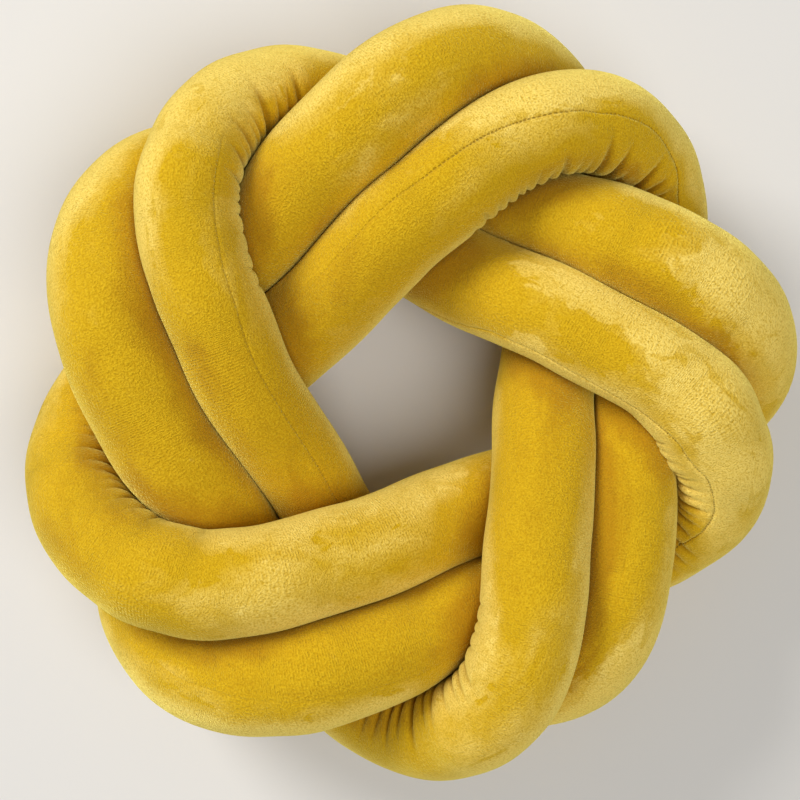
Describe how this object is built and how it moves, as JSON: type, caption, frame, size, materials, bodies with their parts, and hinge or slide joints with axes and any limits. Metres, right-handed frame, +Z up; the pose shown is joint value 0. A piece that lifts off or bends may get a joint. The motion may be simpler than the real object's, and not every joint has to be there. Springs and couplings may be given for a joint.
{
  "type": "knot cushion",
  "caption": "Round knot cushion of a long stuffed velvet tube, laid as a double ring knot with an open middle.",
  "frame": {"origin": "middle of the footprint, on the surface the cushion rests on", "axes": "+Z up through the open middle of the ring; +X and +Y across the ring, +Y to the top of the face as it is shown"},
  "size_m": [0.3978, 0.3978, 0.1196],
  "materials": {
    "velvet": "mustard-gold short-pile velvet with a pale sheen and a fine rib"
  },
  "bodies": {
    "root": {"knot_tube": "velvet"}
  },
  "joints": []
}
